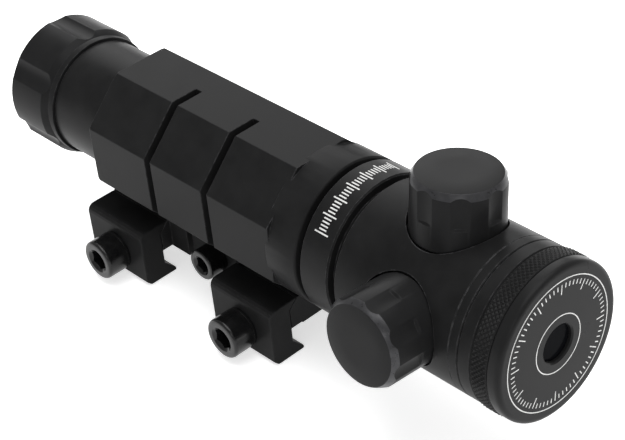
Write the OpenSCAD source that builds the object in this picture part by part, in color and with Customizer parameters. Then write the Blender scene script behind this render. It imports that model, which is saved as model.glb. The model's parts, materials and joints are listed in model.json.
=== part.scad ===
// Adjustable laser sight in a rail-clamp sleeve.
// Millimetres. Origin on the rail seat, midway between the two jaw screws,
// over the rail's centreline. +X along the beam, +Z up, -Y the side of the
// moving jaws. The optical axis runs along X at axis_h above the seat.

/* [Sight tube] */
// Outside diameter of the battery tube
tube_d = 25.4; // [25:0.1:25.8]
// Height of the optical axis over the rail seat
axis_h = 22.2; // [22:0.1:24]
// Angle the sight tube is turned in its sleeve, about the beam
tube_clock = -5.5; // [-8:0.5:8]
// Outside diameter of the turret housing and the rings
housing_d = 31.4; // [31:0.1:32]
// Distance from the seat origin to the front face
front_x = 89; // [88:0.5:92]

/* [Front end] */
// Length of the rounded bezel at the front
bezel_len = 2.7; // [2.2:0.1:3]
// Length of the knurled grip behind the bezel
knurl_len = 3.8; // [3.4:0.1:4]
// Diameter over the knurl
knurl_d = 32.0; // [31.6:0.1:32.4]
// Length of the plain ring behind the knurl
front_ring_len = 3.1; // [2.8:0.1:3.4]
// Diameter of the beam aperture
aperture_d = 7.6; // [5:0.1:8]

/* [Turrets] */
// Distance of the turret axes behind the front face
turret_back = 24.3; // [24:0.1:25]
// Height of a cap's flat top over the optical axis
turret_top = 25.1; // [24.6:0.1:26]
// Outside diameter of a turret cap
cap_d = 17.8; // [17.2:0.1:18]
// Length of the fluted grip of a turret cap
flute_len = 7.3; // [6:0.1:8]
// Number of flutes round a turret cap
flute_count = 8; // [6:1:10]
// Angle the elevation cap is turned to, from a flute on the beam
elevation_phase = 0; // [0:1:45]
// Angle the windage cap is turned to, from a flute on the beam
windage_phase = 31; // [0:1:45]

/* [Sleeve] */
// Width across the flats of the octagonal sleeve
sleeve_af = 30.8; // [30.4:0.1:31]
// Length of the octagonal part of the sleeve
sleeve_len = 54.5; // [54:0.5:56]
// Width of the two slots that free the clamping strap
slot_w = 1.8; // [1.2:0.1:2.2]

/* [Tail cap] */
// Outside diameter of the tail cap
tail_d = 28.4; // [28:0.1:29]
// Length of the tail cap
tail_len = 14.2; // [13.8:0.1:15]
// Number of grip grooves round the tail cap
tail_grooves = 6; // [4:1:8]

/* [Rail clamp] */
// Distance between the two jaw screws, four slots of the rail
screw_pitch = 40.03; // [40.03:0.01:40.05]
// Length of each jaw along the rail
jaw_len = 18; // [17:0.5:19.5]
// Width of the rail over its dovetail
rail_w = 21.2; // [21.1:0.05:21.3]
// Distance from the centreline to the outer face of a jaw
jaw_y = 16; // [15.5:0.1:17]
// Height of the clamp blocks over the seat
block_h = 7; // [6.8:0.1:7.2]
// Depth of the jaws below the seat
jaw_drop = 6.3; // [6.2:0.1:7]
// Head diameter of the jaw screws
jaw_head_d = 8.8; // [8.5:0.1:9.2]
// Head diameter of the sleeve screw
sleeve_head_d = 6.8; // [6.4:0.1:7]

/* [Hidden] */
$fn = 96;

// Stations along the beam, from the front face backwards
bezel_x = front_x - bezel_len;
knurl_x = bezel_x - knurl_len;
ring_x = knurl_x - front_ring_len;
turret_x = front_x - turret_back;
housing_x = 48.6;
band_front = 46.85;
band_rear = 39.5;
sleeve_front = 38.2;
octagon_front = 31;
octagon_rear = octagon_front - sleeve_len;
tail_front = -40.2;
tail_rear = tail_front - tail_len;
tail_chamfer_x = tail_front - 3;
tail_ring_x = tail_front - 1.5;

// Radii of the sight tube and what it holds
tube_r = tube_d / 2;
tube_bore = 9.3;
tube_thread_r = 11.8;
tube_rear = tail_front - 7.8;
tube_front = 50;
core_r = 13.8;
housing_r = housing_d / 2;
housing_bore = 12;
liner_r = 9.25;
cell_r = 8.4;
cell_len = 34.3;
cell_rear = -42;
cell_front = cell_rear + 2 * cell_len;
running = 0.05;

// Pivot and laser module
pivot_x = 81.5;
barrel_r = 6.5;
barrel_bore = 5.4;
barrel_rear = 44;
barrel_front = 84.5;
gimbal_bore = 7.9;
gimbal_r = 10.2;
spigot_bore = 10.6;
spigot_r = 13.4;
spigot_front = 86.2;
pin_r = 1;

// Turrets, measured out from the optical axis
cap_r = cap_d / 2;
pocket_r = cap_r + 0.35;
pocket_floor = 12.4;
cap_foot = 12.7;
bevel_in = 0.85;
bevel_down = 1.35;
flute_r = 7;
flute_depth = 0.4;
cap_bore = 6.9;
cap_shoulder = 18.2;
bush_r = cap_bore - running;
bush_top = 17.5;
bush_foot = 9.9;
dial_floor = 14;
plunger_r = 1.75;

// Rail clamp
groove_y = rail_w / 2 + 0.1;
lip_y = 8.1;
flank_z = -3.0;
seat_y = 7.8;
seam_y = groove_y + 0.05;
screw_z = -0.4;
jaw_screw_r = 2.5;
sleeve_screw_x = 4;
sleeve_screw_z = 4.7;
sleeve_screw_r = 2;
slot_rear_x = -4.7;
slot_front_x = 12.6;
slit_y = [-2.2, -1.2];
lug_y = -8;

// ---- Placing and turning helpers ----

// The sight's own frame: the optical axis is X and its top turret is +Z
module in_sight() {
    translate([0, 0, axis_h])
        rotate([tube_clock, 0, 0])
            children();
}

// Stands a shape drawn about Z on the elevation axis
module on_elevation() {
    in_sight()
        translate([turret_x, 0, 0])
            children();
}

// Stands the same shape on the windage axis
module on_windage() {
    in_sight()
        translate([turret_x, 0, 0])
            rotate([90, 0, 0])
                children();
}

// Turns an outline of [x, radius] points about the X axis
module turned(outline) {
    rotate([0, 90, 0])
        rotate_extrude()
            polygon([for (p = outline) [p[1], p[0]]]);
}

module disc_x(x0, x1, r) {
    translate([x0, 0, 0])
        rotate([0, 90, 0])
            cylinder(h = x1 - x0, r = r);
}

module ring_x(x0, x1, outer, inner) {
    difference() {
        disc_x(x0, x1, outer);
        disc_x(x0 - 1, x1 + 1, inner);
    }
}

module ring_z(z0, z1, outer, inner) {
    difference() {
        translate([0, 0, z0])
            cylinder(h = z1 - z0, r = outer);
        translate([0, 0, z0 - 1])
            cylinder(h = z1 - z0 + 2, r = inner);
    }
}

// A rod along Y between two stations
module rod_y(y0, y1, r) {
    translate([0, y0, 0])
        rotate([-90, 0, 0])
            cylinder(h = y1 - y0, r = r);
}

// Coil of round wire: n turns of radius r, from z0 to z1
module coil(z0, z1, r, wire, turns) {
    steps = 14;
    sides = 6;
    rows = steps * turns;
    height = z1 - z0 - 2 * wire;
    points = [
        for (i = [0 : rows])
            let (a = 360 * i / steps, z = z0 + wire + height * i / rows)
                for (k = [0 : sides - 1])
                    let (b = 360 * k / sides, d = r + wire * cos(b))
                        [d * cos(a), d * sin(a), z + wire * sin(b)]
    ];
    walls = [
        for (i = [0 : rows - 1])
            for (k = [0 : sides - 1])
                let (k2 = (k + 1) % sides, a = i * sides, b = a + sides)
                    [a + k, b + k, b + k2, a + k2]
    ];
    start = [for (k = [0 : sides - 1]) k];
    end = [for (k = [sides - 1 : -1 : 0]) rows * sides + k];
    polyhedron(points, concat(walls, [start, end]));
}

// Socket head screw along Y: head from y0 outwards (-Y), shank to y1
module socket_screw(y0, y1, head_r, head_h, shank_r, hex_r) {
    difference() {
        union() {
            rotate([-90, 0, 0])
                rotate_extrude()
                    polygon([
                        [0, y0 - head_h], [head_r - 0.5, y0 - head_h],
                        [head_r, y0 - head_h + 0.5], [head_r, y0],
                        [shank_r, y0], [shank_r, y1 - 0.6],
                        [shank_r - 0.6, y1], [0, y1],
                    ]);
        }
        translate([0, y0 - head_h - 1, 0])
            rotate([-90, 0, 0])
                rotate([0, 0, 30])
                    cylinder(h = head_h * 0.55 + 1, r = hex_r, $fn = 6);
    }
}

// ---- Sleeve with its clamp base ----

// Outline of the clamp base across the rail, with the fixed far hook
module base_outline() {
    seam = seam_y - 0.1;
    polygon([
        [-seam + 2.1, block_h], [-seam, block_h - 2.1], [-seam, 0.3],
        [-seat_y, 0.3], [-seat_y, 0], [seat_y, 0], [seat_y, 0.3],
        [groove_y, 0.3], [groove_y, flank_z],
        [lip_y, flank_z - (groove_y - lip_y)], [lip_y, -jaw_drop],
        [jaw_y - 1, -jaw_drop], [jaw_y, -jaw_drop + 1],
        [jaw_y, block_h - 1.6], [jaw_y - 0.5, block_h - 0.5],
        [jaw_y - 1.6, block_h],
    ]);
}

// Extrudes an outline drawn in Y and Z along the rail
module along_rail(x0, x1) {
    translate([x0, 0, 0])
        rotate([90, 0, 90])
            linear_extrude(x1 - x0)
                children();
}

module octagon(x0, x1, flats) {
    translate([x0, 0, axis_h])
        rotate([0, 90, 0])
            rotate([0, 0, 22.5])
                cylinder(h = x1 - x0, r = flats / 2 / cos(22.5), $fn = 8);
}

module clamp_sleeve() {
    corner = sleeve_af / 2 / cos(22.5);
    strap_x0 = slot_rear_x - slot_w / 2;
    strap_x1 = slot_front_x + slot_w / 2;
    color([0.16, 0.16, 0.17])
    difference() {
        union() {
            intersection() {
                octagon(octagon_rear, octagon_front, sleeve_af);
                translate([0, 0, axis_h])
                    turned([
                        [octagon_rear, 0], [octagon_rear, corner - 0.3],
                        [octagon_rear + 0.4, corner + 0.1],
                        [octagon_front + 1, corner + 0.1], [octagon_front + 1, 0],
                    ]);
            }
            translate([0, 0, axis_h])
                turned([
                    [octagon_front - 1, 0], [octagon_front - 1, housing_r],
                    [sleeve_front - 0.3, housing_r],
                    [sleeve_front, housing_r - 0.3], [sleeve_front, 0],
                ]);
            for (s = [-1, 1])
                along_rail(s * screw_pitch / 2 - jaw_len / 2,
                           s * screw_pitch / 2 + jaw_len / 2)
                    base_outline();
            // bridge between the two blocks, under the sleeve
            translate([-screw_pitch / 2, lug_y, 0])
                cube([screw_pitch, seat_y - lug_y, block_h]);
        }
        translate([0, 0, axis_h])
            disc_x(octagon_rear - 1, sleeve_front + 1, tube_r + running);
        // two slots free the near half of the strap
        for (x = [slot_rear_x, slot_front_x])
            translate([x - slot_w / 2, -corner - 1, block_h - 1])
                cube([slot_w, corner + 1, axis_h + corner]);
        // slit between the strap's lug and the base, and the gaps beside the lug
        translate([strap_x0, slit_y[0], -1])
            cube([strap_x1 - strap_x0, slit_y[1] - slit_y[0], axis_h]);
        translate([strap_x0, lug_y - 1, -1])
            cube([slot_w, slit_y[1] - lug_y + 1, block_h + 1]);
        translate([screw_pitch / 2 - jaw_len / 2 - 0.8, lug_y - 1, -1])
            cube([0.8, slit_y[1] - lug_y + 1, block_h + 1]);
        translate([screw_pitch / 2 - jaw_len / 2 - 0.8, -seam_y - 1, block_h - 0.8])
            cube([strap_x1 - screw_pitch / 2 + jaw_len / 2 + 0.8,
                  slit_y[1] + seam_y + 1, 0.6]);
        // the lug stands clear of the rail
        translate([strap_x0, lug_y - 1, -1])
            cube([strap_x1 - strap_x0 - 3, slit_y[0] - lug_y + 1, 1.6]);
        // sleeve screw: clearance in the lug, thread in the base
        translate([sleeve_screw_x, 0, sleeve_screw_z]) {
            rod_y(lug_y - 1, slit_y[0] + 0.5, sleeve_screw_r + 0.2);
            rod_y(slit_y[0], seat_y + 1, sleeve_screw_r + running);
        }
        // jaw screws: open under the seat, threaded in the far hook
        for (s = [-1, 1])
            translate([s * screw_pitch / 2, 0, screw_z])
                rod_y(-seam_y - 1, jaw_y + 1, jaw_screw_r + running);
    }
}

// ---- Sight tube, rings and housing ----

module sight_tube() {
    color([0.13, 0.13, 0.14])
    in_sight()
        difference() {
            turned([
                [tube_rear, 0], [tube_rear, tube_thread_r - 0.4],
                [tube_rear + 0.4, tube_thread_r],
                [tail_front + 0.05, tube_thread_r],
                [tail_front + 0.05, tube_r - 0.2],
                [tail_front + 0.25, tube_r], [tube_front, tube_r],
                [tube_front, 0],
            ]);
            disc_x(tube_rear - 1, tube_front + 1, tube_bore);
        }
}

module lock_ring() {
    color([0.15, 0.15, 0.16])
    in_sight()
        difference() {
            turned([
                [sleeve_front + 0.1, 0], [sleeve_front + 0.1, core_r],
                [band_rear, core_r], [band_rear, housing_r - 0.3],
                [band_rear + 0.3, housing_r], [band_front - 0.3, housing_r],
                [band_front, housing_r - 0.3], [band_front, core_r],
                [housing_x - 0.1, core_r], [housing_x - 0.1, 0],
            ]);
            disc_x(sleeve_front - 1, housing_x + 1, tube_r + running);
        }
}

// Pocket for a cap, hole for a bush, drawn about Z
module turret_pocket() {
    translate([0, 0, pocket_floor])
        cylinder(h = housing_r, r = pocket_r);
    cylinder(h = housing_r, r = 5);
}

// Blind seat for a return spring on the side away from a turret
module spring_pocket() {
    translate([0, 0, -13.2])
        cylinder(h = 6, r = 2.3);
}

module turret_housing() {
    step_x = ring_x - 2.25;
    color([0.15, 0.15, 0.16])
    in_sight()
        difference() {
            turned([
                [housing_x, 0], [housing_x, housing_r - 0.3],
                [housing_x + 0.3, housing_r], [step_x, housing_r],
                [step_x + 0.12, housing_r - 0.12],
                [step_x + 0.24, housing_r], [ring_x - 0.3, housing_r],
                [ring_x - 0.1, housing_r - 0.2], [ring_x - 0.1, 0],
            ]);
            disc_x(housing_x - 1, tube_front + 0.1, tube_r + running);
            disc_x(housing_x - 1, ring_x + 1, housing_bore);
            translate([turret_x, 0, 0]) {
                turret_pocket();
                rotate([90, 0, 0])
                    turret_pocket();
                spring_pocket();
                rotate([90, 0, 0])
                    spring_pocket();
            }
        }
}

module front_ring() {
    color([0.15, 0.15, 0.16])
    in_sight()
        difference() {
            turned([
                [ring_x - 6.4, 0], [ring_x - 6.4, housing_bore - running],
                [ring_x, housing_bore - running], [ring_x, housing_r - 0.2],
                [ring_x + 0.2, housing_r], [knurl_x - 0.4, housing_r],
                [knurl_x - 0.1, housing_r - 0.3], [knurl_x - 0.1, spigot_r],
                [spigot_front - 0.4, spigot_r],
                [spigot_front, spigot_r - 0.4], [spigot_front, 0],
            ]);
            disc_x(ring_x - 8, spigot_front + 1, spigot_bore);
            for (a = [0, 180])
                translate([pivot_x, 0, 0])
                    rotate([a, 0, 0])
                        translate([0, 0, spigot_bore - 2])
                            cylinder(h = 4.1, r = pin_r + running);
        }
}

// ---- Battery compartment ----

module battery_liner() {
    color([0.75, 0.74, 0.7])
    in_sight()
        ring_x(tube_rear + 3, cell_front + 2, liner_r, cell_r + 0.2);
}

module battery_cells() {
    color([0.2, 0.35, 0.6])
    in_sight()
        for (i = [0, 1])
            turned([
                [cell_rear + i * cell_len, 0],
                [cell_rear + i * cell_len, cell_r - 0.5],
                [cell_rear + i * cell_len + 0.5, cell_r],
                [cell_rear + (i + 1) * cell_len - 1.7, cell_r],
                [cell_rear + (i + 1) * cell_len - 1.2, cell_r - 0.5],
                [cell_rear + (i + 1) * cell_len - 1.2, 3.3],
                [cell_rear + (i + 1) * cell_len - 0.1, 3.3],
                [cell_rear + (i + 1) * cell_len - 0.1, 0],
            ]);
}

module contact_holder() {
    color([0.12, 0.12, 0.12])
    in_sight()
        difference() {
            disc_x(cell_front + 4, cell_front + 7, liner_r);
            for (s = [-1, 1])
                translate([0, 0, s * 3])
                    disc_x(cell_front + 3, cell_front + 8, 0.7);
        }
}

module contact_spring() {
    color([0.8, 0.65, 0.3])
    in_sight()
        translate([cell_front, 0, 0])
            rotate([0, 90, 0])
                coil(0.05, 3.9, 2.6, 0.35, 3);
}

module lead_wires() {
    color([0.6, 0.1, 0.08])
    in_sight()
        for (s = [-1, 1])
            translate([0, 0, s * 3])
                disc_x(cell_front + 4.2, barrel_rear - 1, 0.5);
}

// ---- Turrets ----

module turret_bush() {
    difference() {
        union() {
            translate([0, 0, bush_foot])
                cylinder(h = 4, r = 5 - running);
            translate([0, 0, pocket_floor + 0.02])
                cylinder(h = bush_top - pocket_floor - 0.02, r = bush_r);
        }
        translate([0, 0, bush_foot - 1])
            cylinder(h = 10, r = plunger_r + running);
        translate([0, 0, dial_floor])
            cylinder(h = 10, r = 5.4);
    }
}

module turret_dial() {
    difference() {
        union() {
            translate([0, 0, dial_floor + 0.1])
                cylinder(h = 2.6, r = 5.35);
            translate([0, 0, dial_floor + 2.7])
                cylinder(h = 1.2, r = 3.2);
        }
        translate([-6, -0.6, dial_floor + 2.8])
            cube([12, 1.2, 3]);
        // graduations round the rim
        for (a = [0 : 30 : 330])
            rotate([0, 0, a])
                translate([4.2, -0.12, dial_floor + 2.5])
                    cube([2, 0.24, 1]);
    }
}

module turret_plunger() {
    rotate_extrude()
        polygon([
            [0, barrel_r + 0.05], [0.8, barrel_r + 0.05],
            [plunger_r, barrel_r + 1], [plunger_r, dial_floor - 0.35],
            [0, dial_floor - 0.35],
        ]);
}

module turret_cap(phase) {
    difference() {
        rotate_extrude()
            polygon([
                [0, cap_foot], [cap_r - 0.3, cap_foot],
                [cap_r, cap_foot + 0.3], [cap_r, turret_top - bevel_down],
                [cap_r - bevel_in, turret_top], [0, turret_top],
            ]);
        for (i = [0 : flute_count - 1])
            rotate([0, 0, phase + 360 * i / flute_count])
                translate([cap_r + flute_r - flute_depth, 0, turret_top - flute_len])
                    cylinder(h = flute_len + 1, r = flute_r);
        translate([0, 0, cap_foot - 1])
            cylinder(h = cap_shoulder - cap_foot + 1, r = cap_bore);
        translate([0, 0, cap_foot])
            cylinder(h = turret_top - 1.8 - cap_foot, r = 6);
    }
}

module turret_cap_seal() {
    ring_z(bush_top + 0.05, cap_shoulder - 0.05, 6.8, 5.6);
}

module elevation_bush() {
    color([0.72, 0.6, 0.32])
    on_elevation()
        turret_bush();
}

module windage_bush() {
    color([0.72, 0.6, 0.32])
    on_windage()
        turret_bush();
}

module elevation_dial() {
    color([0.72, 0.6, 0.32])
    on_elevation()
        turret_dial();
}

module windage_dial() {
    color([0.72, 0.6, 0.32])
    on_windage()
        turret_dial();
}

module elevation_plunger() {
    color([0.7, 0.7, 0.72])
    on_elevation()
        turret_plunger();
}

module windage_plunger() {
    color([0.7, 0.7, 0.72])
    on_windage()
        turret_plunger();
}

module elevation_cap() {
    color([0.2, 0.2, 0.21])
    on_elevation()
        turret_cap(elevation_phase);
}

module windage_cap() {
    color([0.2, 0.2, 0.21])
    on_windage()
        turret_cap(windage_phase);
}

module elevation_cap_seal() {
    color([0.05, 0.05, 0.05])
    on_elevation()
        turret_cap_seal();
}

module windage_cap_seal() {
    color([0.05, 0.05, 0.05])
    on_windage()
        turret_cap_seal();
}

// Springs under and beyond the barrel, at their shortest working length
module return_springs() {
    color([0.7, 0.7, 0.72]) {
        on_elevation()
            coil(-13.15, -6.9, 1.75, 0.3, 6);
        on_windage()
            coil(-13.15, -6.9, 1.75, 0.3, 6);
    }
}

// ---- Gimbal and laser module ----

module gimbal_ring() {
    color([0.72, 0.6, 0.32])
    in_sight()
        difference() {
            ring_x(pivot_x - 2.3, pivot_x + 2.3, gimbal_r, gimbal_bore);
            translate([pivot_x, 0, 0]) {
                rod_y(-15, 15, pin_r + running);
                translate([0, 0, -15])
                    cylinder(h = 30, r = pin_r + 0.02);
            }
        }
}

// Pins that carry the gimbal ring in the front ring
module gimbal_pins() {
    color([0.7, 0.7, 0.72])
    in_sight()
        translate([pivot_x, 0, 0])
            for (a = [0, 180])
                rotate([a, 0, 0])
                    translate([0, 0, gimbal_bore + 0.1])
                        cylinder(h = 4.5, r = pin_r);
}

module laser_barrel() {
    color([0.72, 0.6, 0.32])
    in_sight()
        difference() {
            disc_x(barrel_rear, barrel_front, barrel_r);
            disc_x(barrel_rear - 1, barrel_front + 1, barrel_bore);
            translate([pivot_x, 0, 0])
                rod_y(-15, 15, pin_r + 0.02);
        }
}

// Pins that carry the barrel in the gimbal ring
module pivot_pins() {
    color([0.7, 0.7, 0.72])
    in_sight()
        translate([pivot_x, 0, 0])
            for (a = [0, 180])
                rotate([a, 0, 0])
                    rod_y(barrel_bore + 0.1, gimbal_r - 0.15, pin_r);
}

module diode_holder() {
    color([0.72, 0.5, 0.3])
    in_sight()
        difference() {
            disc_x(58, 66, barrel_bore - 0.02);
            disc_x(57, 67, 2.85);
        }
}

module laser_diode() {
    color([0.8, 0.7, 0.4])
    in_sight()
        difference() {
            union() {
                disc_x(60, 64.5, 2.8);
                for (a = [0, 120, 240])
                    rotate([a, 0, 0])
                        translate([0, 0, 1.2])
                            disc_x(54.5, 60.5, 0.25);
            }
            disc_x(64, 65, 0.8);
        }
}

// Plano-convex lens: the curved side faces forwards
module collimating_lens() {
    lens_r = 12;
    rim_x = 75.4;
    half = 4.4;
    crown = lens_r - sqrt(lens_r * lens_r - half * half);
    color([0.75, 0.85, 0.9])
    in_sight()
        intersection() {
            disc_x(rim_x - 1.2, rim_x + crown, half);
            translate([rim_x + crown - lens_r, 0, 0])
                rotate([0, 90, 0])
                    sphere(r = lens_r);
        }
}

module lens_retainer() {
    color([0.15, 0.15, 0.16])
    in_sight()
        difference() {
            disc_x(72.5, 78.5, barrel_bore - 0.02);
            disc_x(71, 80, 3.6);
            disc_x(74.1, 80, 4.45);
        }
}

module driver_board() {
    color([0.1, 0.35, 0.2])
    in_sight() {
        translate([45.5, -4.2, -0.6])
            cube([8.5, 8.4, 1.2]);
        translate([47, -2.5, 0.5])
            cube([3, 3, 1.2]);
        translate([51, 0.5, 0.5])
            cube([1.6, 2.6, 0.9]);
    }
}

// ---- Front end ----

module front_cap() {
    wall_x = front_x - 1.85;
    color([0.2, 0.2, 0.21])
    in_sight()
        difference() {
            turned([
                [knurl_x, 0], [knurl_x, knurl_d / 2 - 0.5],
                [knurl_x + 0.4, knurl_d / 2], [bezel_x - 0.3, knurl_d / 2],
                [bezel_x - 0.1, knurl_d / 2 - 0.5],
                [bezel_x + 0.1, knurl_d / 2 - 0.5],
                [bezel_x + 0.3, housing_r + 0.1],
                [front_x - 1.1, housing_r + 0.1],
                [front_x - 0.5, housing_r - 0.15],
                [front_x - 0.1, housing_r - 0.6],
                [front_x, housing_r - 1.1], [front_x, 0],
            ]);
            disc_x(knurl_x - 1, wall_x, spigot_r + running);
            disc_x(wall_x - 1, front_x - 0.9, 6.05);
            disc_x(wall_x - 1, front_x + 1, aperture_d / 2);
            translate([front_x - 0.3, 0, 0])
                rotate([0, 90, 0])
                    cylinder(h = 0.31, r1 = aperture_d / 2, r2 = aperture_d / 2 + 0.3);
        }
}

module window() {
    color([0.75, 0.85, 0.9])
    in_sight()
        disc_x(front_x - 2.05, front_x - 0.95, 6);
}

module window_retainer() {
    color([0.15, 0.15, 0.16])
    in_sight()
        ring_x(front_x - 2.75, front_x - 2.1, 9, 4.2);
}

module front_seal() {
    color([0.05, 0.05, 0.05])
    in_sight()
        ring_x(spigot_front + 0.1, front_x - 1.95, spigot_r - 0.05, 10.8);
}

// ---- Tail cap and switch ----

module tail_cap() {
    r = tail_d / 2;
    groove_r = 5;
    color([0.17, 0.17, 0.18])
    in_sight()
        difference() {
            turned([
                [tail_rear, 0], [tail_rear, r - 0.8], [tail_rear + 0.8, r],
                [tail_chamfer_x, r], [tail_ring_x, r - 0.9],
                [tail_front, r - 0.9], [tail_front, 0],
            ]);
            for (i = [0 : tail_grooves - 1])
                rotate([360 * i / tail_grooves + 2, 0, 0])
                    translate([0, 0, r + groove_r - 0.75])
                        disc_x(tail_rear - 1, tail_ring_x, groove_r);
            disc_x(tube_rear - 0.75, tail_front + 1, tube_thread_r + 0.06);
            disc_x(tail_rear + 2, tail_front + 1, 9.2);
            disc_x(tail_rear - 1, tail_front, 5.2);
        }
}

module tail_gasket() {
    color([0.05, 0.05, 0.05])
    in_sight()
        ring_x(tube_rear - 0.7, tube_rear - 0.1, tube_thread_r, 9.4);
}

module switch_body() {
    color([0.1, 0.1, 0.1])
    in_sight()
        difference() {
            disc_x(tail_rear + 2.05, tube_rear - 0.8, 9.15);
            disc_x(tail_rear + 1, tail_rear + 3.9, 2.1);
        }
}

module tail_contact() {
    color([0.8, 0.65, 0.3])
    in_sight()
        disc_x(tube_rear - 0.75, tube_rear - 0.35, 6);
}

module battery_spring() {
    color([0.8, 0.65, 0.3])
    in_sight()
        translate([tube_rear - 0.3, 0, 0])
            rotate([0, 90, 0])
                coil(0, cell_rear - tube_rear + 0.25, 4.5, 0.45, 4);
}

module switch_button() {
    color([0.06, 0.06, 0.06])
    in_sight()
        turned([
            [tail_rear - 1.1, 0], [tail_rear - 1.1, 4.3],
            [tail_rear - 0.3, 5.1], [tail_rear + 0.7, 5.1],
            [tail_rear + 0.7, 2], [tail_rear + 2.5, 2], [tail_rear + 2.5, 0],
        ]);
}

// ---- Rail clamp jaws and screws ----

// Outline of a moving jaw across the rail
module jaw_outline() {
    polygon([
        [-seam_y + 2.1, block_h], [-seam_y, block_h - 2.1],
        [-seam_y, 0.3], [-groove_y, 0.3], [-groove_y, flank_z],
        [-lip_y, flank_z - (groove_y - lip_y)], [-lip_y, -jaw_drop],
        [-jaw_y + 1, -jaw_drop], [-jaw_y, -jaw_drop + 1],
        [-jaw_y, block_h - 1.6], [-jaw_y + 0.12, block_h - 1],
        [-jaw_y + 0.47, block_h - 0.47], [-jaw_y + 1, block_h - 0.12],
        [-jaw_y + 1.6, block_h],
    ]);
}

module jaw(x) {
    color([0.16, 0.16, 0.17])
    difference() {
        along_rail(x - jaw_len / 2, x + jaw_len / 2)
            jaw_outline();
        translate([x, 0, screw_z])
            rod_y(-jaw_y - 1, 0, jaw_screw_r + 0.2);
    }
}

module front_jaw() {
    jaw(screw_pitch / 2);
}

module rear_jaw() {
    jaw(-screw_pitch / 2);
}

module jaw_screw(x) {
    color([0.08, 0.08, 0.08])
    translate([x, 0, screw_z])
        socket_screw(-jaw_y - 0.75, 14, jaw_head_d / 2, 5, jaw_screw_r, 2.45);
}

module jaw_screw_front() {
    jaw_screw(screw_pitch / 2);
}

module jaw_screw_rear() {
    jaw_screw(-screw_pitch / 2);
}

module jaw_washer(x) {
    color([0.1, 0.1, 0.1])
    translate([x, 0, screw_z])
        difference() {
            rod_y(-jaw_y - 0.7, -jaw_y - 0.05, jaw_head_d / 2 - 0.1);
            rod_y(-jaw_y - 2, -jaw_y + 1, jaw_screw_r + running);
        }
}

module jaw_washer_front() {
    jaw_washer(screw_pitch / 2);
}

module jaw_washer_rear() {
    jaw_washer(-screw_pitch / 2);
}

module sleeve_screw() {
    color([0.08, 0.08, 0.08])
    translate([sleeve_screw_x, 0, sleeve_screw_z])
        socket_screw(lug_y - 0.55, seat_y - 0.2, sleeve_head_d / 2, 3.9,
                     sleeve_screw_r, 1.9);
}

module sleeve_washer() {
    color([0.1, 0.1, 0.1])
    translate([sleeve_screw_x, 0, sleeve_screw_z])
        difference() {
            rod_y(lug_y - 0.5, lug_y - 0.05, sleeve_head_d / 2 - 0.1);
            rod_y(lug_y - 2, lug_y + 1, sleeve_screw_r + running);
        }
}

clamp_sleeve();
sight_tube();
lock_ring();
turret_housing();
front_ring();
battery_liner();
battery_cells();
contact_holder();
contact_spring();
lead_wires();
elevation_bush();
windage_bush();
return_springs();
gimbal_ring();
gimbal_pins();
laser_barrel();
pivot_pins();
diode_holder();
laser_diode();
collimating_lens();
lens_retainer();
driver_board();
elevation_dial();
elevation_plunger();
elevation_cap();
elevation_cap_seal();
windage_dial();
windage_plunger();
windage_cap();
windage_cap_seal();
front_cap();
window();
window_retainer();
front_seal();
tail_cap();
tail_gasket();
switch_body();
tail_contact();
battery_spring();
switch_button();
front_jaw();
rear_jaw();
jaw_screw_front();
jaw_screw_rear();
jaw_washer_front();
jaw_washer_rear();
sleeve_screw();
sleeve_washer();
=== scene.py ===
import json
import math

import bmesh
import bpy
from mathutils import Matrix, Vector


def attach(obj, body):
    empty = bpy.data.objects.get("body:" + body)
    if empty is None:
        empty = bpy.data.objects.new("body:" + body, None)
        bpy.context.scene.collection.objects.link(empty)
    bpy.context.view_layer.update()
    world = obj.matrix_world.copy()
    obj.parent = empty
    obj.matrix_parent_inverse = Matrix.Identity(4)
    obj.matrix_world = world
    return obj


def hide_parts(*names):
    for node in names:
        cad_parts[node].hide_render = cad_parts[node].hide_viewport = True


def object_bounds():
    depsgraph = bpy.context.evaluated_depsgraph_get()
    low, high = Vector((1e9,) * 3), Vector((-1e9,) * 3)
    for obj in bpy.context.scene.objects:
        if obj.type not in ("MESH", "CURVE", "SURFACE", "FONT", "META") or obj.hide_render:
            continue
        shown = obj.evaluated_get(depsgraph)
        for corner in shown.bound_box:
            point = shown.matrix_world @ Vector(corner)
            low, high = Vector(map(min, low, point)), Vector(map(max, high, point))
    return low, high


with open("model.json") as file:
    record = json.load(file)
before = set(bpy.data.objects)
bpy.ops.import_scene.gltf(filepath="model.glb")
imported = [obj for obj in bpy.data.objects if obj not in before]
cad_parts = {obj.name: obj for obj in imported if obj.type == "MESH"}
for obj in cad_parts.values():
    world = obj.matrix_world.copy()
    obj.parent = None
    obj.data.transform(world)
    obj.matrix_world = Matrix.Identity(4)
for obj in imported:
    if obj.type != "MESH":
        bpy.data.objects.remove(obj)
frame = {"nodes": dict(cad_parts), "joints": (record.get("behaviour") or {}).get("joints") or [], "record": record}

cad_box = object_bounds()
MM = 0.001
NODES = frame["nodes"]
JOINTS = {joint["name"]: joint for joint in frame["joints"]}
TURN = 2 * math.pi


# ---- Places and sizes, read from the frame ----

def joint_axis(name):
    return Vector(JOINTS[name]["axis"]).normalized()


def joint_place(name):
    return Vector(JOINTS[name]["pos_m"]) / MM


def axis_frame(origin, axis, across):
    """A 4x4 in mm: local Z runs along axis and local X lies as near across as it can."""
    z = axis.normalized()
    x = (across - z * across.dot(z)).normalized()
    y = z.cross(x)
    m = Matrix((x, y, z)).transposed().to_4x4()
    m.translation = origin
    return m


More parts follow.
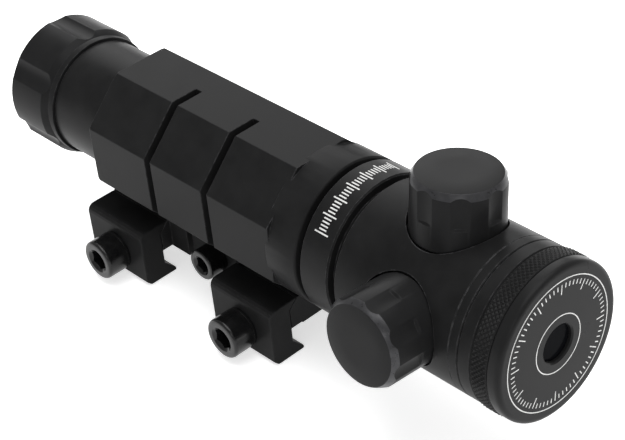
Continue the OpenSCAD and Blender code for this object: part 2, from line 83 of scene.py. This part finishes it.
UP = joint_axis("elevation_cap_turn")
SIDE = joint_axis("windage_cap_turn")
BEAM = joint_place("front_cap_turn")
BEAM.x = 0
TURRET_X = joint_place("elevation_cap_turn").x
ON_BEAM = axis_frame(BEAM, Vector((1, 0, 0)), UP)
TURRET_CENTRE = BEAM + Vector((TURRET_X, 0, 0))
ON_ELEVATION = axis_frame(TURRET_CENTRE, UP, Vector((1, 0, 0)))
ON_WINDAGE = axis_frame(TURRET_CENTRE, SIDE, Vector((1, 0, 0)))

FLOOR_Z = cad_box[0][2]


def reach(node, place):
    """A CAD node's lowest and highest place along a local axis, and its smallest and largest
    radius about it, in mm."""
    inverse = place.inverted()
    points = [inverse @ (vertex.co / MM) for vertex in NODES[node].data.vertices]
    along = [point.z for point in points]
    radii = [math.hypot(point.x, point.y) for point in points]
    return min(along), max(along), min(radii), max(radii)


# ---- Mesh helpers ----

def rounded(points, steps=6):
    """Outline points (along, radius, fillet) with each fillet drawn as an arc."""
    out = []
    count = len(points)
    for i, (h, r, fillet) in enumerate(points):
        here = Vector((h, r))
        if fillet <= 0 or i in (0, count - 1):
            out.append((h, r))
            continue
        before = Vector(points[i - 1][:2]) - here
        after = Vector(points[i + 1][:2]) - here
        angle = before.angle(after)
        setback = fillet / math.tan(angle / 2)
        setback = min(setback, before.length * 0.49, after.length * 0.49)
        a = here + before.normalized() * setback
        b = here + after.normalized() * setback
        for k in range(steps + 1):
            t = k / steps
            p = a * (1 - t) ** 2 + here * 2 * t * (1 - t) + b * t * t
            out.append((p.x, p.y))
    return out


def new_object(name, bm, place, body, look, smooth):
    """A finished piece in the row frame, in metres, riding on a CAD body. Edges sharper than
    smooth, in degrees, stay sharp."""
    bmesh.ops.remove_doubles(bm, verts=bm.verts, dist=1e-4)
    bmesh.ops.recalc_face_normals(bm, faces=bm.faces)
    bm.transform(Matrix.Scale(MM, 4) @ place)
    mesh = bpy.data.meshes.new(name)
    bm.to_mesh(mesh)
    bm.free()
    mesh.polygons.foreach_set("use_smooth", [True] * len(mesh.polygons))
    mesh.set_sharp_from_angle(angle=math.radians(smooth))
    mesh.materials.append(look)
    obj = bpy.data.objects.new(name, mesh)
    bpy.context.scene.collection.objects.link(obj)
    weighted = obj.modifiers.new("normals", "WEIGHTED_NORMAL")
    weighted.keep_sharp = True
    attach(obj, body)
    return obj


def turned(outline, steps, closed=False):
    """A bmesh turned about local Z. Each point of the outline is (along, radius), or a function
    that gives them for an angle."""
    bm = bmesh.new()
    rings = []
    for point in outline:
        if not callable(point) and point[1] < 1e-6:
            rings.append([bm.verts.new((0, 0, point[0]))])
            continue
        ring = []
        for k in range(steps):
            a = TURN * k / steps
            h, r = point(a) if callable(point) else point
            ring.append(bm.verts.new((r * math.cos(a), r * math.sin(a), h)))
        rings.append(ring)
    pairs = list(zip(rings, rings[1:]))
    if closed:
        pairs.append((rings[-1], rings[0]))
    for low, high in pairs:
        for k in range(steps):
            n = (k + 1) % steps
            corners = [low[k % len(low)], low[n % len(low)],
                       high[n % len(high)], high[k % len(high)]]
            corners = list(dict.fromkeys(corners))
            if len(corners) > 2:
                bm.faces.new(corners)
    return bm


def round_cut(angle, centre, radius):
    """Distance from the axis to a round cutter whose centre lies that far out at angle 0. Past
    the cutter it gives the centre's distance, which is outside every cap."""
    off = centre * math.sin(angle)
    if abs(off) >= radius or math.cos(angle) <= 0:
        return centre
    return centre * math.cos(angle) - math.sqrt(radius * radius - off * off)


def nearest(angle, count, first=0.0):
    """Angle from the nearest of count evenly spaced places."""
    step = TURN / count
    return (angle - first + step / 2) % step - step / 2


# ---- Materials ----

# Sockets of a colour Mix node, which share their names with its other data types.
MIX_FACTOR, MIX_FIRST, MIX_SECOND, MIX_RESULT = 0, 6, 7, 2


def add(tree, kind, **values):
    """A new shader node, with its inputs or settings given by name."""
    node = tree.nodes.new(kind)
    for name, value in values.items():
        if name in node.inputs:
            node.inputs[name].default_value = value
        else:
            setattr(node, name, value)
    return node


def noise(tree, coords, scale, detail=2.0, rough=0.55):
    """Noise whose scale is in features per millimetre."""
    node = add(tree, "ShaderNodeTexNoise", Scale=scale, Detail=detail, Roughness=rough)
    tree.links.new(coords, node.inputs["Vector"])
    return node.outputs["Fac"]


def spread(tree, value, low, high, low_out, high_out):
    """Maps a value from the range low to high onto low_out to high_out."""
    node = add(tree, "ShaderNodeMapRange")
    node.inputs["From Min"].default_value = low
    node.inputs["From Max"].default_value = high
    node.inputs["To Min"].default_value = low_out
    node.inputs["To Max"].default_value = high_out
    tree.links.new(value, node.inputs["Value"])
    return node.outputs["Result"]


def math_node(tree, operation, a, b):
    """A Math node on two sockets or numbers."""
    node = add(tree, "ShaderNodeMath", operation=operation)
    for socket, value in zip(node.inputs, (a, b)):
        if isinstance(value, (int, float)):
            socket.default_value = value
        else:
            tree.links.new(value, socket)
    return node.outputs[0]


def material(name, colour, rough, metal=0.0, specular=0.5, mottle=0.2, mottle_size=6.0,
             grain=0.12, grain_size=0.3, rings=0.0, ring_pitch=0.25, edge_tint=None, soft=0.12,
             coat=0.0):
    """A surface with mottled colour, varied roughness, fine grain, turning rings and edges that are
    lightened and smoothed. Sizes are in mm, and rings run across the beam. The edge tint gives the
    colour that edges are lightened towards and how much of it shows."""
    mat = bpy.data.materials.new(name)
    mat.use_nodes = True
    tree = mat.node_tree
    tree.nodes.clear()
    out = add(tree, "ShaderNodeOutputMaterial")
    shader = add(tree, "ShaderNodeBsdfPrincipled", Metallic=metal)
    shader.inputs["Specular IOR Level"].default_value = specular
    shader.inputs["Coat Weight"].default_value = coat
    tree.links.new(shader.outputs[0], out.inputs[0])
    where = add(tree, "ShaderNodeTexCoord")
    scale = add(tree, "ShaderNodeVectorMath", operation="SCALE")
    scale.inputs["Scale"].default_value = 1 / MM
    tree.links.new(where.outputs["Object"], scale.inputs[0])
    coords = scale.outputs[0]
    patches = noise(tree, coords, 1 / mottle_size, 4.0)
    level = spread(tree, patches, 0.3, 0.7, 1 - mottle, 1 + mottle)
    tint = add(tree, "ShaderNodeVectorMath", operation="SCALE")
    tint.inputs[0].default_value = colour
    tree.links.new(level, tint.inputs["Scale"])
    base = tint.outputs[0]
    fine = noise(tree, coords, 1 / grain_size, 3.0)
    roughness = spread(tree, patches, 0.3, 0.7, rough - 0.05, rough + 0.05)
    edge = add(tree, "ShaderNodeBevel", samples=6)
    edge.inputs["Radius"].default_value = soft * MM
    # Lightens and smooths the edges towards the edge tint, in patches broken up by noise.
    if edge_tint:
        face = add(tree, "ShaderNodeNewGeometry")
        dot = add(tree, "ShaderNodeVectorMath", operation="DOT_PRODUCT")
        wide = add(tree, "ShaderNodeBevel", samples=4)
        wide.inputs["Radius"].default_value = soft * 2 * MM
        tree.links.new(wide.outputs[0], dot.inputs[0])
        tree.links.new(face.outputs["Normal"], dot.inputs[1])
        edge_band = spread(tree, dot.outputs["Value"], 0.995, 0.85, 0.0, 1.0)
        broken = spread(tree, noise(tree, coords, 0.9, 4.0), 0.42, 0.62, 0.15, 1.0)
        mask = math_node(tree, "MULTIPLY", edge_band, broken)
        mask = math_node(tree, "MULTIPLY", mask, edge_tint[3])
        mix = add(tree, "ShaderNodeMix", data_type="RGBA")
        mix.inputs[MIX_SECOND].default_value = (*edge_tint[:3], 1)
        tree.links.new(mask, mix.inputs[MIX_FACTOR])
        tree.links.new(base, mix.inputs[MIX_FIRST])
        base = mix.outputs[MIX_RESULT]
        roughness = math_node(tree, "SUBTRACT", roughness, math_node(tree, "MULTIPLY", mask, 0.12))
    tree.links.new(base, shader.inputs["Base Color"])
    tree.links.new(roughness, shader.inputs["Roughness"])
    height = math_node(tree, "MULTIPLY", fine, grain)
    if rings:
        split = add(tree, "ShaderNodeSeparateXYZ")
        tree.links.new(coords, split.inputs[0])
        along = math_node(tree, "MULTIPLY", split.outputs[0], TURN / ring_pitch)
        turns = math_node(tree, "SINE", along, 0)
        height = math_node(tree, "ADD", height, math_node(tree, "MULTIPLY", turns, rings))
    bump = add(tree, "ShaderNodeBump", Strength=0.6)
    bump.inputs["Distance"].default_value = 0.05 * MM
    tree.links.new(height, bump.inputs["Height"])
    tree.links.new(edge.outputs[0], bump.inputs["Normal"])
    tree.links.new(bump.outputs[0], shader.inputs["Normal"])
    return mat


def glass(name, colour, rough, specular):
    """Near-black glass that lets only a little light through; its dark colour is painted shade standing in for the
    dark inside behind the window.
    """
    mat = material(name, colour, rough, specular=specular, mottle=0.05, grain=0.01)
    shader = next(n for n in mat.node_tree.nodes if n.type == "BSDF_PRINCIPLED")
    shader.inputs["Transmission Weight"].default_value = 0.1
    shader.inputs["IOR"].default_value = 1.15
    return mat


# Colour that edges are lightened towards, with its strength as the last value.
PALE_EDGE_TINT = (0.16, 0.16, 0.165, 0.5)
ANODISED = material("anodised_black", (0.0118, 0.0118, 0.0120), 0.40, specular=0.04,
                    mottle=0.16, edge_tint=PALE_EDGE_TINT)
TURNED = material("anodised_turned", (0.0112, 0.0112, 0.0114), 0.36, specular=0.05,
                  mottle=0.18, rings=0.05, ring_pitch=0.32, edge_tint=PALE_EDGE_TINT)
CAPS = material("anodised_cap", (0.0120, 0.0120, 0.0123), 0.34, specular=0.045,
                mottle=0.12, edge_tint=(0.20, 0.20, 0.205, 0.25))
KNURL = material("anodised_knurl", (0.0116, 0.0116, 0.0118), 0.32, specular=0.065,
                 mottle=0.06, grain=0.03, soft=0.05)
# Cap chamfers: a lighter, half-metallic copy of the cap finish, partly a machined chamfer finish and partly
# painted highlight.
BEVEL_FINISH_AND_HIGHLIGHT = material("anodised_bevel_and_painted_highlight", (0.034, 0.034, 0.036), 0.30, metal=0.5, specular=0.3,
                    mottle=0.25, mottle_size=1.5, grain=0.2)
OXIDE = material("black_oxide", (0.005, 0.005, 0.0052), 0.22, specular=0.3, mottle=0.25,
                 mottle_size=1.5, grain=0.04, edge_tint=(0.10, 0.10, 0.105, 0.12))
BRASS = material("brass_turned", (0.70, 0.50, 0.22), 0.28, metal=1.0, mottle=0.1,
                 rings=0.06, grain=0.04)
STEEL = material("steel_ground", (0.55, 0.55, 0.57), 0.25, metal=1.0, mottle=0.08, grain=0.06)
WIRE = material("spring_wire", (0.48, 0.48, 0.50), 0.30, metal=1.0, mottle=0.12, grain=0.05)
GOLD = material("gold_plate", (0.85, 0.62, 0.26), 0.22, metal=1.0, mottle=0.06, grain=0.03)
RUBBER = material("nitrile_rubber", (0.012, 0.012, 0.012), 0.72, specular=0.3,
                  mottle=0.2, grain=0.35, grain_size=0.2)
PLASTIC = material("moulded_black", (0.02, 0.02, 0.02), 0.5, mottle=0.1, grain=0.2)
LINER = material("liner_tube", (0.70, 0.68, 0.60), 0.55, mottle=0.08, grain=0.1)
CELL = material("cell_wrap", (0.05, 0.13, 0.36), 0.3, mottle=0.06, grain=0.03, coat=0.5)
BOARD = material("circuit_board", (0.02, 0.14, 0.05), 0.4, mottle=0.25, mottle_size=1.2, grain=0.1)
RED_WIRE = material("wire_red", (0.45, 0.03, 0.02), 0.45, mottle=0.1, grain=0.05)
PRINT = material("printed_ink", (0.62, 0.62, 0.61), 0.6, mottle=0.12, mottle_size=0.8, grain=0.3,
                 grain_size=0.15)
# The window's near-black, mostly opaque glass is painted shade for the dark aperture.
GLASS_PAINTED_SHADE = glass("glass_with_painted_shade", (0.004, 0.0042, 0.005), 0.12, 0.02)

SLOT_LOOKS = {
    "anodised": ANODISED, "anodised_cap": CAPS, "black_oxide": OXIDE, "brass": BRASS,
    "steel": STEEL, "spring_steel": WIRE, "gold_contact": GOLD, "rubber": RUBBER,
    "black_plastic": PLASTIC, "liner_plastic": LINER, "cell_wrap": CELL,
    "optical_glass": GLASS_PAINTED_SHADE, "circuit_board": BOARD, "wire_red": RED_WIRE,
}


def dress(node, look):
    """Gives a carried-over CAD node its procedural material."""
    slots = NODES[node].data.materials
    slots.clear()
    slots.append(look)


TURNED_NODES = ("sight_tube", "turret_housing", "front_ring", "lock_ring")
for part in frame["record"]["subparts"]:
    look = SLOT_LOOKS[part["material_slot"]]
    if part["node"] in TURNED_NODES:
        look = TURNED
    dress(part["node"], look)


# ---- Caps, button, screws and marks ----

def diamond(h, a, count, pitch):
    """0 along the grooves of a diamond knurl and 1 on its points."""
    turns = count * a / TURN
    return min(abs((turns + h / pitch) % 1 * 2 - 1), abs((turns - h / pitch) % 1 * 2 - 1))


def front_cap():
    """Knurled grip, fine groove, rounded bezel and a flat face round the aperture."""
    rear, front, aperture, grip = reach("front_cap", ON_BEAM)
    bore = reach("front_seal", ON_BEAM)[3] + 0.1
    bezel = front - 2.7
    grip_end = bezel - 0.1
    rim = grip - 0.2
    count, pitch = 96, 1.05
    depth = 0.34
    end_drop = 0.42

    def grip_ring(h):
        plain = grip - max(0, end_drop - (h - rear), end_drop - (grip_end - h))
        return lambda a: (h, min(plain, grip - depth * (1 - diamond(h - rear, a, count, pitch))))

    rows = 38
    band = [grip_ring(rear + (grip_end - rear) * i / rows) for i in range(rows + 1)]
    bezel_rings = rounded([
        (bezel - 0.1, grip - 0.55, 0), (bezel + 0.12, grip - 0.55, 0.05), (bezel + 0.18, rim, 0.1),
        (front, rim, 1.15), (front, aperture + 0.3, 0.08), (front - 0.3, aperture, 0.08),
        (front - 0.9, aperture, 0), (front - 0.9, 6.05, 0), (front - 1.85, 6.05, 0),
        (front - 1.85, bore, 0), (rear, bore, 0),
    ])
    bm = turned(band + bezel_rings, 8 * count, closed=True)
    piece = new_object("front_cap_knurled", bm, ON_BEAM, "front_cover", KNURL, 28)
    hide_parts("front_cap")


def turret_cap(node, place, body, first):
    """Cap with eight scooped flutes that run out in a bevel round a flat top."""
    foot, top, _, crest = reach(node, place)
    flutes, cutter, scoop = 8, 7.0, 0.4
    bevel_in, bevel_down = 0.85, 1.35
    flute_foot = top - 7.3
    bore, shoulder, ceiling, well = 6.9, 18.2, top - 1.8, 6.0
    flat = crest - bevel_in

    def side(a):
        cut = round_cut(nearest(a, flutes, first), crest + cutter - scoop, cutter)
        return min(crest, cut)

    def bevel(t):
        def ring(a):
            r = flat + (side(a) - flat) * t
            return top - bevel_down * (r - flat) / bevel_in, r
        return ring

    outline = [
        (foot, bore), (foot, crest - 0.3), (foot + 0.09, crest - 0.09), (foot + 0.3, crest),
        (flute_foot - 0.03, crest), lambda a: (flute_foot + 0.45, side(a)),
        lambda a: (bevel(1)(a)[0] - 0.06, side(a)), bevel(0.97), bevel(0.5), bevel(0.1),
        (top - 0.03, flat), (top, flat - 0.1), (top, flat * 0.5), (top, 0),
        (ceiling, 0), (ceiling, well), (shoulder, well), (shoulder, bore),
    ]
    bm = turned(outline, 720, closed=True)
    # Chamfer faces take the second material, whose lighter colour is partly painted highlight.
    for face in bm.faces:
        middle = face.calc_center_median()
        radius = math.hypot(middle.x, middle.y)
        bevel_height = top - bevel_down * (radius - flat) / bevel_in
        if radius > flat + 0.02 and middle.z > bevel_height - 0.03:
            face.material_index = 1
    piece = new_object(node + "_fluted", bm, place, body, CAPS, 20)
    piece.data.materials.append(BEVEL_FINISH_AND_HIGHLIGHT)
    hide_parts(node)


def tail_cap():
    """Cap with wide shallow grip grooves between a chamfered ring and a chamfered rear edge."""
    rear, front, well, crest = reach("tail_cap", ON_BEAM)
    grooves, first, cutter, scoop = 6, math.radians(2), 5.0, 0.75
    ring_r = crest - 0.9
    ring_x, chamfer_x = front - 1.5, front - 3
    rear_drop = 0.8
    thread = reach("tail_gasket", ON_BEAM)[3] + 0.06
    thread_end = reach("tail_gasket", ON_BEAM)[0] - 0.05
    body_r = reach("switch_body", ON_BEAM)[3] + 0.05

    def side(a):
        cut = round_cut(nearest(a, grooves, first), crest + cutter - scoop, cutter)
        return min(crest, cut)

    def front_chamfer(a):
        drop = (crest - side(a)) / (crest - ring_r)
        return chamfer_x + (ring_x - chamfer_x) * drop, side(a)

    def rear_chamfer(a):
        return rear + rear_drop - (crest - side(a)), side(a)

    def short_of(ring, back, inward=0.0):
        return lambda a: (ring(a)[0] + back, ring(a)[1] - inward)

    outline = [
        (front, thread), (front, ring_r - 0.12), (front - 0.04, ring_r - 0.03),
        (front - 0.15, ring_r), (ring_x + 0.02, ring_r),
        short_of(front_chamfer, 0.05, 0.03), short_of(front_chamfer, -0.08),
        short_of(rear_chamfer, 0.1), short_of(rear_chamfer, -0.04, 0.05),
        (rear + 0.04, crest - rear_drop - 0.03), (rear, crest - rear_drop - 0.12),
        (rear, well + 0.25), (rear + 0.07, well + 0.07), (rear + 0.25, well), (rear + 2, well),
        (rear + 2, body_r), (thread_end, body_r), (thread_end, thread),
    ]
    bm = turned(outline, 720, closed=True)
    piece = new_object("tail_cap_grooved", bm, ON_BEAM, "rear_cover", CAPS, 20)
    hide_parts("tail_cap")


def switch_button():
    """Rubber push button with a shallow dished top inside a raised ring."""
    rear, front, _, wide = reach("switch_button", ON_BEAM)
    flange, stem = rear + 1.8, 2.0
    outline = rounded([
        (rear + 0.25, 0, 0), (rear + 0.2, 2.6, 0.5), (rear, 3.1, 0.25), (rear, 3.9, 0.6),
        (rear + 0.9, wide, 0.3), (flange, wide, 0), (flange, stem, 0), (front, stem, 0.2),
        (front, 0, 0),
    ])
    bm = turned(outline, 96)
    piece = new_object("switch_button_domed", bm, ON_BEAM, "push_button", RUBBER, 40)
    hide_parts("switch_button")


def hexagon(apothem):
    """Distance to a regular hexagon's edge at an angle."""
    sixth = TURN / 6
    return lambda a: apothem / math.cos(a % sixth - sixth / 2)


def socket_screw(node, joint, body, head_length, socket_width, shank, pitch):
    """Socket head screw with a rounded head, a countersunk hexagon socket and a rolled thread."""
    place = axis_frame(joint_place(joint), joint_axis(joint), Vector((0, 0, 1)))
    tip, top, _, head = reach(node, place)
    under = top - head_length
    socket = hexagon(socket_width / 2)
    widest = socket_width / 2 / math.cos(TURN / 12)
    depth = head_length * 0.55
    thread_start, thread_gap, thread_depth = tip + 0.6, 1.5, 0.28
    thread = []
    turns = int((under - thread_gap - thread_start) / pitch)
    for i in range(turns):
        root_h = thread_start + i * pitch
        thread += [(root_h, shank - thread_depth), (root_h + pitch * 0.4, shank),
                   (root_h + pitch * 0.6, shank)]
    outline = [(tip, 0), (tip, shank - 0.7), (tip + 0.55, shank - thread_depth)] + thread
    outline += [(thread[-1][0] + 0.2, shank - 0.05), (under, shank - 0.05)]
    outline += rounded([
        (under, shank, 0), (under, head, 0.12), (top, head, 1.0), (top, widest + 0.35, 0.12),
        (top - 0.32, widest + 0.02, 0),
    ])
    outline += [
        lambda a: (top - 0.36 - (widest - socket(a)) * 0.8, socket(a)),
        lambda a: (top - depth, socket(a)), (top - depth - 0.05, widest * 0.75),
        (top - depth - 0.7, 0),
    ]
    bm = turned(outline, 96)
    piece = new_object(node + "_socket_head", bm, place, body, OXIDE, 30)
    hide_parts(node)


def add_bar(bm, place, low, high):
    """A thin bar with bevelled top edges, between two corners of a local frame."""
    (x0, y0, z0), (x1, y1, z1) = low, high
    inset = min(x1 - x0, y1 - y0) * 0.15
    base = [(x0, y0, z0), (x1, y0, z0), (x1, y1, z0), (x0, y1, z0)]
    cap = [(x0 + inset, y0 + inset, z1), (x1 - inset, y0 + inset, z1),
           (x1 - inset, y1 - inset, z1), (x0 + inset, y1 - inset, z1)]
    lower = [bm.verts.new(place @ Vector(p)) for p in base]
    upper = [bm.verts.new(place @ Vector(p)) for p in cap]
    bm.faces.new(lower[::-1])
    bm.faces.new(upper)
    for i in range(4):
        j = (i + 1) % 4
        bm.faces.new((lower[i], lower[j], upper[j], upper[i]))


def index_scale():
    """Plain index lines round the lock ring's near side, every fifth one longer."""
    rear = reach("lock_ring", ON_BEAM)[0]
    surface = reach("lock_ring", ON_BEAM)[3]
    middle = rear + 4.9
    lines, first_angle, step = 31, -20, 2.6
    half_width, sunk = 0.17, 0.03
    bm = bmesh.new()
    for i in range(lines):
        half = 1.75 if i % 5 == 0 else 0.95
        turn = Matrix.Rotation(math.radians(first_angle + step * i), 4, "Z")
        out = Matrix.Translation((surface, 0, middle)) @ Matrix.Rotation(TURN / 4, 4, "Y")
        add_bar(bm, turn @ out, (-half, -half_width, -sunk), (half, half_width, sunk))
    new_object("index_scale", bm, ON_BEAM, "root", PRINT, 60)


def face_scale():
    """Plain tick circle and two thin rings round the aperture."""
    face = reach("front_cap", ON_BEAM)[1]
    low, high = face - 0.02, face + 0.025
    width, slope = 0.25, 0.04
    ticks, tick_end, half_width = 72, 12.5, 0.13

    def ring(inner, steps):
        outer = inner + width
        outline = [(low, inner), (high, inner + slope), (high, outer - slope), (low, outer)]
        return turned(outline, steps, closed=True)

    bm = ring(5.75, 144)
    large = ring(13.2, 288)
    mesh = bpy.data.meshes.new("ring")
    large.to_mesh(mesh)
    large.free()
    bm.from_mesh(mesh)
    bpy.data.meshes.remove(mesh)
    for i in range(ticks):
        inner = 10.4 if i % 6 == 0 else 11.5
        turn = Matrix.Rotation(TURN * i / ticks, 4, "Z")
        add_bar(bm, turn, (inner, -half_width, low), (tick_end, half_width, high))
    new_object("face_scale", bm, ON_BEAM, "front_cover", PRINT, 60)


def soften(node, width):
    """Rounds the sharp edges of a carried-over CAD node."""
    obj = NODES[node]
    weld = obj.modifiers.new("weld", "WELD")
    weld.merge_threshold = 1e-6
    planar = obj.modifiers.new("planar", "DECIMATE")
    planar.decimate_type = "DISSOLVE"
    planar.angle_limit = math.radians(0.5)
    bevel = obj.modifiers.new("bevel", "BEVEL")
    bevel.width = width * MM
    bevel.segments = 3
    bevel.limit_method = "ANGLE"
    bevel.angle_limit = math.radians(35)
    bevel.use_clamp_overlap = False
    bevel.harden_normals = True


front_cap()
turret_cap("elevation_cap", ON_ELEVATION, "elevation_cover", 0.0)
turret_cap("windage_cap", ON_WINDAGE, "windage_cover", math.radians(31))
tail_cap()
switch_button()
socket_screw("jaw_screw_front", "front_jaw_screw_turn", "screw_front", 5.0, 4.24, 2.5, 0.8)
socket_screw("jaw_screw_rear", "rear_jaw_screw_turn", "screw_rear", 5.0, 4.24, 2.5, 0.8)
socket_screw("sleeve_screw", "sleeve_screw_turn", "strap_screw", 3.9, 3.3, 2.0, 0.7)
index_scale()
face_scale()
soften("front_jaw", 0.3)
soften("rear_jaw", 0.3)
soften("clamp_sleeve", 0.15)


# ---- Floor, lights and camera ----

def floor():
    """A broad pale sweep under the object."""
    half = 3.0
    mesh = bpy.data.meshes.new("floor")
    mesh.from_pydata([(-half, -half, FLOOR_Z), (half, -half, FLOOR_Z),
                      (half, half, FLOOR_Z), (-half, half, FLOOR_Z)], [], [(0, 1, 2, 3)])
    obj = bpy.data.objects.new("floor", mesh)
    bpy.context.scene.collection.objects.link(obj)
    mat = material("floor_white", (0.93, 0.93, 0.93), 0.9, specular=0.05, mottle=0.01, grain=0.0)
    shader = next(n for n in mat.node_tree.nodes if n.type == "BSDF_PRINCIPLED")
    shader.inputs["Emission Color"].default_value = (1, 1, 1, 1)
    shader.inputs["Emission Strength"].default_value = 0.6
    mesh.materials.append(mat)


def soft_light(name, towards, distance, size, power):
    """A square area light that faces the object from a direction."""
    light = bpy.data.lights.new(name, "AREA")
    light.size = size
    light.energy = power
    obj = bpy.data.objects.new(name, light)
    bpy.context.scene.collection.objects.link(obj)
    place = Vector(towards).normalized() * distance
    obj.location = place
    obj.rotation_euler = place.to_track_quat("Z", "Y").to_euler()


def sky(strength):
    """An even white surround."""
    world = bpy.data.worlds.new("studio")
    world.use_nodes = True
    background = world.node_tree.nodes["Background"]
    background.inputs[0].default_value = (1, 1, 1, 1)
    background.inputs[1].default_value = strength
    bpy.context.scene.world = world


def camera():
    """The photograph's viewpoint, fitted to the object."""
    azimuth, elevation, roll = (math.radians(a) for a in (50.167, 36.0, -6.422))
    target = Vector((35.758, -7.983, 28.720)) * MM
    distance = 0.350
    back = Vector((math.sin(azimuth) * math.cos(elevation),
                   -math.cos(azimuth) * math.cos(elevation), math.sin(elevation)))
    level = Vector((math.cos(azimuth), math.sin(azimuth), 0))
    above = back.cross(level)
    right = level * math.cos(roll) + above * math.sin(roll)
    up = above * math.cos(roll) - level * math.sin(roll)
    data = bpy.data.cameras.new("camera")
    data.sensor_width = 36
    data.lens = 107.23
    data.clip_start = 0.01
    obj = bpy.data.objects.new("camera", data)
    bpy.context.scene.collection.objects.link(obj)
    turn = Matrix((right, up, back)).transposed().to_4x4()
    turn.translation = target + back * distance
    obj.matrix_world = turn
    bpy.context.scene.camera = obj


floor()
sky(0.55)
soft_light("overhead", (0.1, 0.1, 1.0), 1.3, 1.2, 16)
soft_light("behind_left", (-0.62, 0.52, 0.588), 1.2, 0.9, 7)
soft_light("front_fill", (0.62, -0.52, 0.48), 0.9, 0.18, 0.5)
camera()
bpy.context.scene.view_settings.view_transform = "Standard"
